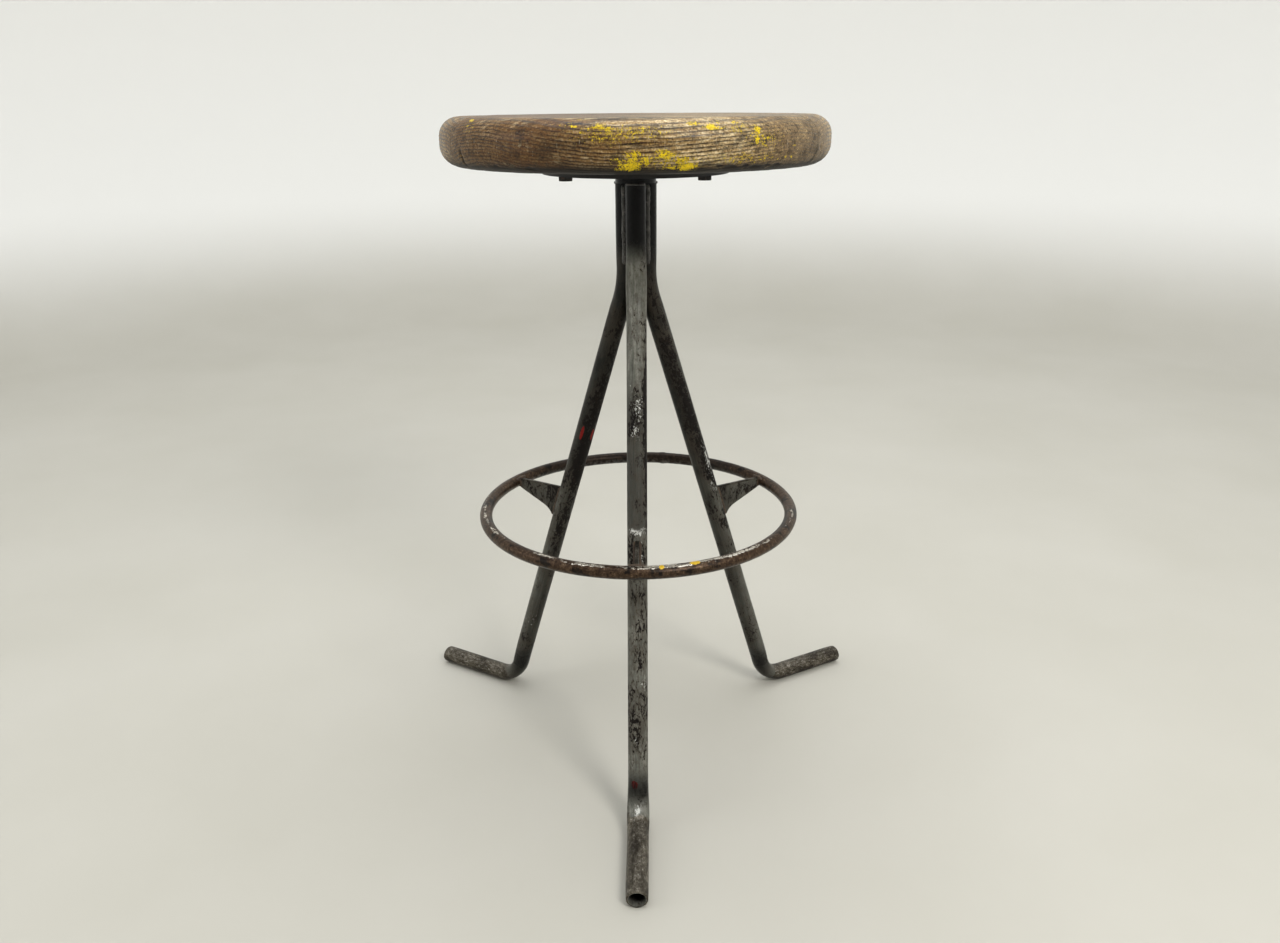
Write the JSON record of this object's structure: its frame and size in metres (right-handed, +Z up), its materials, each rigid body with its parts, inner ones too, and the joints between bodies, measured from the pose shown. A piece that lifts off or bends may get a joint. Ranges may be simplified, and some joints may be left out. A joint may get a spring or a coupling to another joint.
{
  "type": "adjustable swivel stool",
  "caption": "Industrial stool with a thick round board seat on a screw spindle, bent pipe legs welded into a column, and a round-bar footrest ring.",
  "frame": {"origin": "the point on the floor under the seat's axis", "axes": "+Z up, -Y towards the front leg, +X to the right of someone facing the stool from -Y"},
  "size_m": [0.5448, 0.5034, 0.714],
  "materials": {
    "seat_wood": "weathered, oiled dark, worn grey on the rim",
    "packing": "matt",
    "black_steel": "blackened, worn",
    "screw_steel": "dull, rusted at the edges",
    "machined_steel": "oiled, bright on the thread crests",
    "leg_paint": "satin grey, chipped and scuffed",
    "bare_steel": "brown rust, rubbed bright where feet rest"
  },
  "bodies": {
    "base": {"thrust_washer": "machined_steel", "column_head_ring": "leg_paint", "spindle_nut_tube": "bare_steel", "leg_front": "leg_paint", "leg_rear_right": "leg_paint", "leg_rear_left": "leg_paint", "footrest_ring": "bare_steel", "gusset_front": "leg_paint", "gusset_rear_right": "leg_paint", "gusset_rear_left": "leg_paint"},
    "stop_stage": {"stop_washer": "machined_steel"},
    "seat": {"seat_board_front": "seat_wood", "seat_board_mid_front": "seat_wood", "seat_board_mid_rear": "seat_wood", "seat_board_rear": "seat_wood", "seat_packing": "packing", "seat_plate": "black_steel", "seat_screw_left": "screw_steel", "seat_screw_right": "screw_steel", "seat_screw_rear": "screw_steel", "spindle": "machined_steel", "spindle_boss": "black_steel", "spring_pin": "machined_steel"}
  },
  "joints": [
    {"name": "seat_lift", "type": "slide", "parent": "base", "child": "stop_stage", "axis": [0, 0, 1], "range_m": [0, 0.075]},
    {"name": "seat_turn", "type": "hinge", "parent": "stop_stage", "child": "seat", "pos_m": [0, 0, 0.6], "axis": [0, 0, 1], "range_deg": [0, 5400]}
  ],
  "couplings": [
    {"joint": "seat_lift", "follows": "seat_turn", "m_per_rad": 0.00079577}
  ]
}
